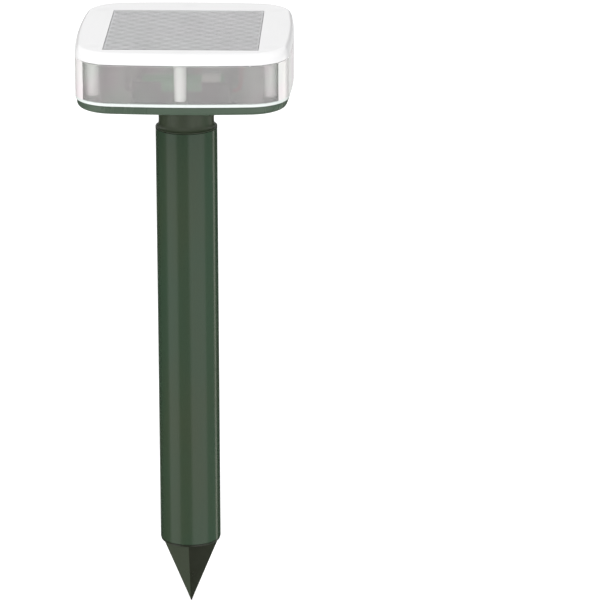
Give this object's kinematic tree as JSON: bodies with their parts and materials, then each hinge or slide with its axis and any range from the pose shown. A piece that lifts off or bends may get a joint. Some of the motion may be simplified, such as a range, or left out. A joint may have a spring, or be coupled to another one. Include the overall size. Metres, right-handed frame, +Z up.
{
  "type": "ultrasonic pest repeller",
  "caption": "Solar pest repeller: square head with a solar panel, clear side band and green tray on a tubular ground stake with a spike; the head swivels and pulls out.",
  "frame": {"origin": "tip of the ground spike, on the stake's axis", "axes": "+Z up along the stake's axis, -Y the front that the panel's narrow margin faces, +X to the right seen from the front"},
  "size_m": [0.1318, 0.1318, 0.3751],
  "materials": {
    "stake_green": "glossy dark green",
    "spike_plastic": "satin dark green moulding",
    "tray_green": "glossy dark green moulding",
    "frosted_clear": "frosted clear moulding, gloss outside",
    "white_shell": "gloss white moulding",
    "panel_glass": "clear cover sheet",
    "silicon": "grey cells with fine grid lines",
    "circuit_board": "glass-fibre board with green mask",
    "foam": "closed-cell foam tape",
    "rubber": "black rubber",
    "black_plastic": "black moulding",
    "capacitor_sleeve": "dark blue shrink sleeve",
    "cell_wrap": "plain green shrink wrap",
    "steel": "zinc plated steel",
    "copper": "enamelled copper wire",
    "sounder_film": "formed polyester film",
    "red_lead": "red insulation",
    "black_lead": "black insulation"
  },
  "bodies": {
    "stake": {"stake_tube": "stake_green", "ground_spike": "spike_plastic"},
    "spigot_seal": {"spigot_o_ring_1": "rubber", "spigot_o_ring_2": "rubber"},
    "head": {"base_tray": "tray_green", "band_seal": "rubber", "side_band": "frosted_clear", "top_shell": "white_shell", "solar_tape": "foam", "solar_board": "circuit_board", "solar_cells": "silicon", "solar_glass": "panel_glass", "main_board": "circuit_board", "drive_chip": "black_plastic", "timing_capacitor": "capacitor_sleeve", "boost_inductor": "black_plastic", "charge_diode": "black_plastic", "switch_body": "black_plastic", "battery_holder": "black_plastic", "battery_cell": "cell_wrap", "battery_spring": "steel", "battery_contact": "steel", "collar": "tray_green", "sounder_cap": "black_plastic", "sounder_ring": "foam", "sounder_diaphragm": "sounder_film", "sounder_coil": "copper", "sounder_magnet": "steel", "sounder_frame": "steel", "solar_lead_red": "red_lead", "solar_lead_black": "black_lead", "battery_lead_red": "red_lead", "battery_lead_black": "black_lead", "sounder_lead_red": "red_lead", "sounder_lead_black": "black_lead", "cover_screw_1": "steel", "cover_screw_2": "steel", "cover_screw_3": "steel", "cover_screw_4": "steel", "cover_screw_5": "steel", "cover_screw_6": "steel", "board_screw_1": "steel", "board_screw_2": "steel", "board_screw_3": "steel", "board_screw_4": "steel", "collar_screw_1": "steel", "collar_screw_2": "steel", "collar_screw_3": "steel"},
    "button": {"power_button": "rubber"}
  },
  "joints": [
    {"name": "head_lift", "type": "slide", "parent": "stake", "child": "spigot_seal", "axis": [0, 0, 1], "range_m": [0, 0.045]},
    {"name": "head_swivel", "type": "hinge", "parent": "spigot_seal", "child": "head", "pos_m": [0, 0, 0.3], "axis": [0, 0, 1], "continuous": true},
    {"name": "button_press", "type": "slide", "parent": "head", "child": "button", "axis": [0, 0, 1], "range_m": [0, 0.0015], "stiffness_N_per_m": 800, "springref_m": -0.001}
  ]
}
